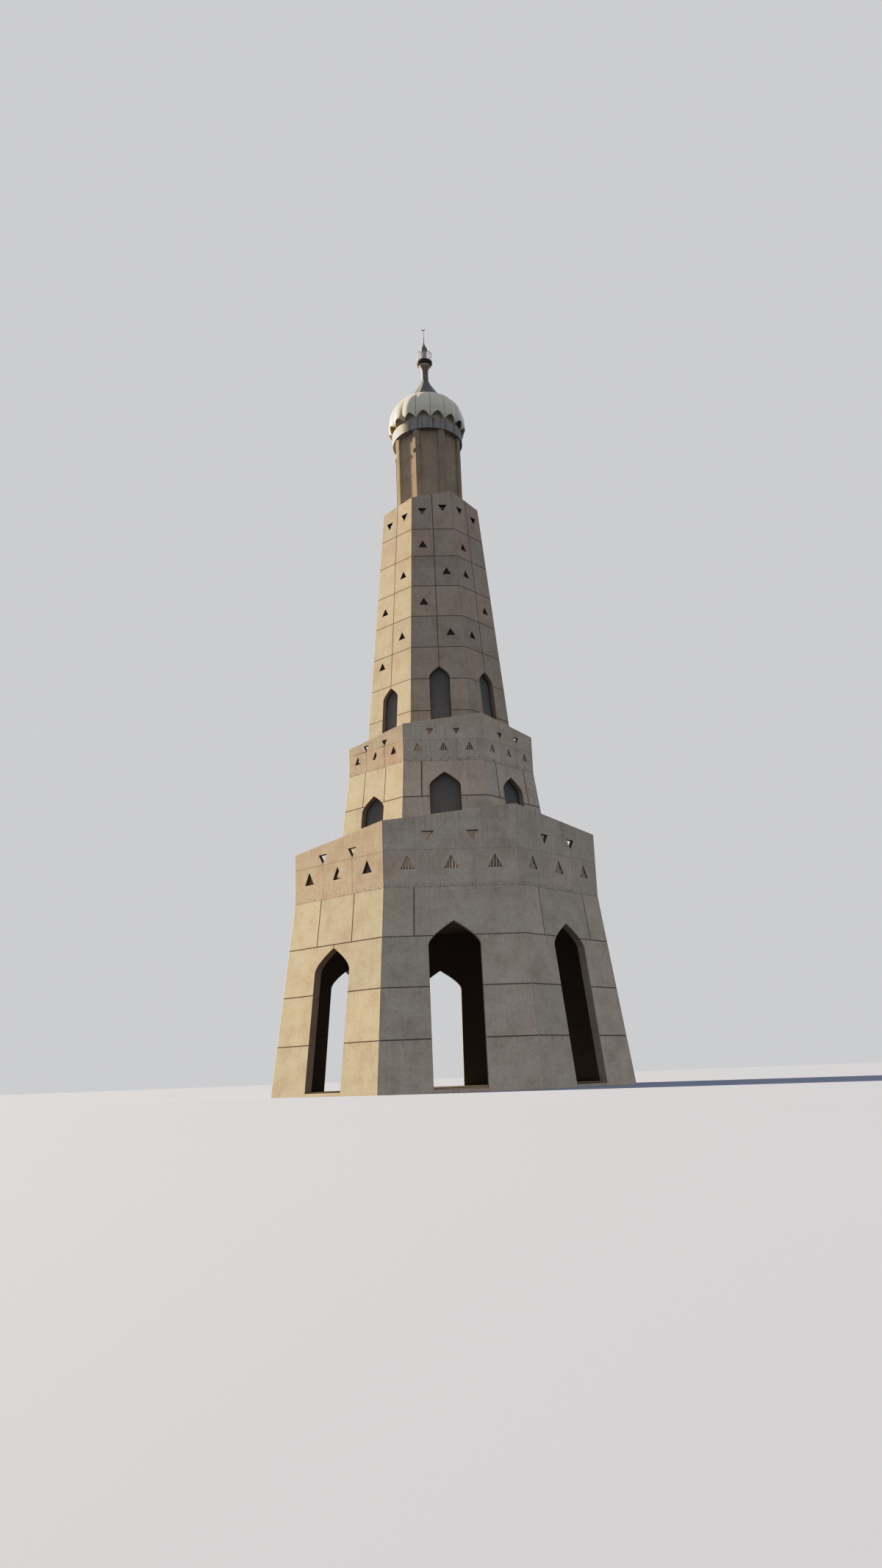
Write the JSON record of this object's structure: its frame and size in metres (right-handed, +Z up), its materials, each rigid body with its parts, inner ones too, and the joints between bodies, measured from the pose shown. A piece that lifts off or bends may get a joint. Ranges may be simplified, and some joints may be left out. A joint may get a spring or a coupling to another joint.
{
  "type": "victory tower, 1:10 scale model",
  "caption": "Tapering octagonal concrete tower: stacked storeys with slanting pierced parapets and pointed arches, a drum, a ribbed dome and a lantern. One-tenth scale model.",
  "frame": {"origin": "middle of the underside of the ground storey, on the ground", "axes": "+Z up the tower's axis; the front face, with a tall arch on each storey, looks along -Y; +X to its right"},
  "size_m": [3.8802, 3.8802, 10],
  "materials": {
    "concrete": "board-marked bare concrete, stained",
    "dome_render": "cream painted render",
    "grey_metal": "weathered grey paint",
    "dark_metal": "dark paint",
    "dark_glass": "dark tinted glass",
    "clear_glass": "clear glass"
  },
  "bodies": {
    "root": {"balcony": "dark_metal", "cap": "grey_metal", "collar": "grey_metal", "dome_upstand": "concrete", "drum_wall": "concrete", "emblem": "grey_metal", "flared_skirt": "grey_metal", "ground_floor": "concrete", "ground_wall_back": "concrete", "ground_wall_back_left": "concrete", "ground_wall_back_right": "concrete", "ground_wall_front": "concrete", "ground_wall_front_left": "concrete", "ground_wall_front_right": "concrete", "ground_wall_left": "concrete", "ground_wall_right": "concrete", "lantern_core": "dark_metal", "lantern_glass": "clear_glass", "low_terrace": "concrete", "mast": "grey_metal", "middle_glazing": "dark_glass", "middle_terrace": "concrete", "middle_wall_back": "concrete", "middle_wall_back_left": "concrete", "middle_wall_back_right": "concrete", "middle_wall_front": "concrete", "middle_wall_front_left": "concrete", "middle_wall_front_right": "concrete", "middle_wall_left": "concrete", "middle_wall_right": "concrete", "neck": "grey_metal", "ribbed_dome": "dome_render", "ring_beam": "concrete", "roof_terrace": "concrete", "shaft_glazing": "dark_glass", "shaft_wall_back": "concrete", "shaft_wall_back_left": "concrete", "shaft_wall_back_right": "concrete", "shaft_wall_front": "concrete", "shaft_wall_front_left": "concrete", "shaft_wall_front_right": "concrete", "shaft_wall_left": "concrete", "shaft_wall_right": "concrete"}
  },
  "joints": []
}
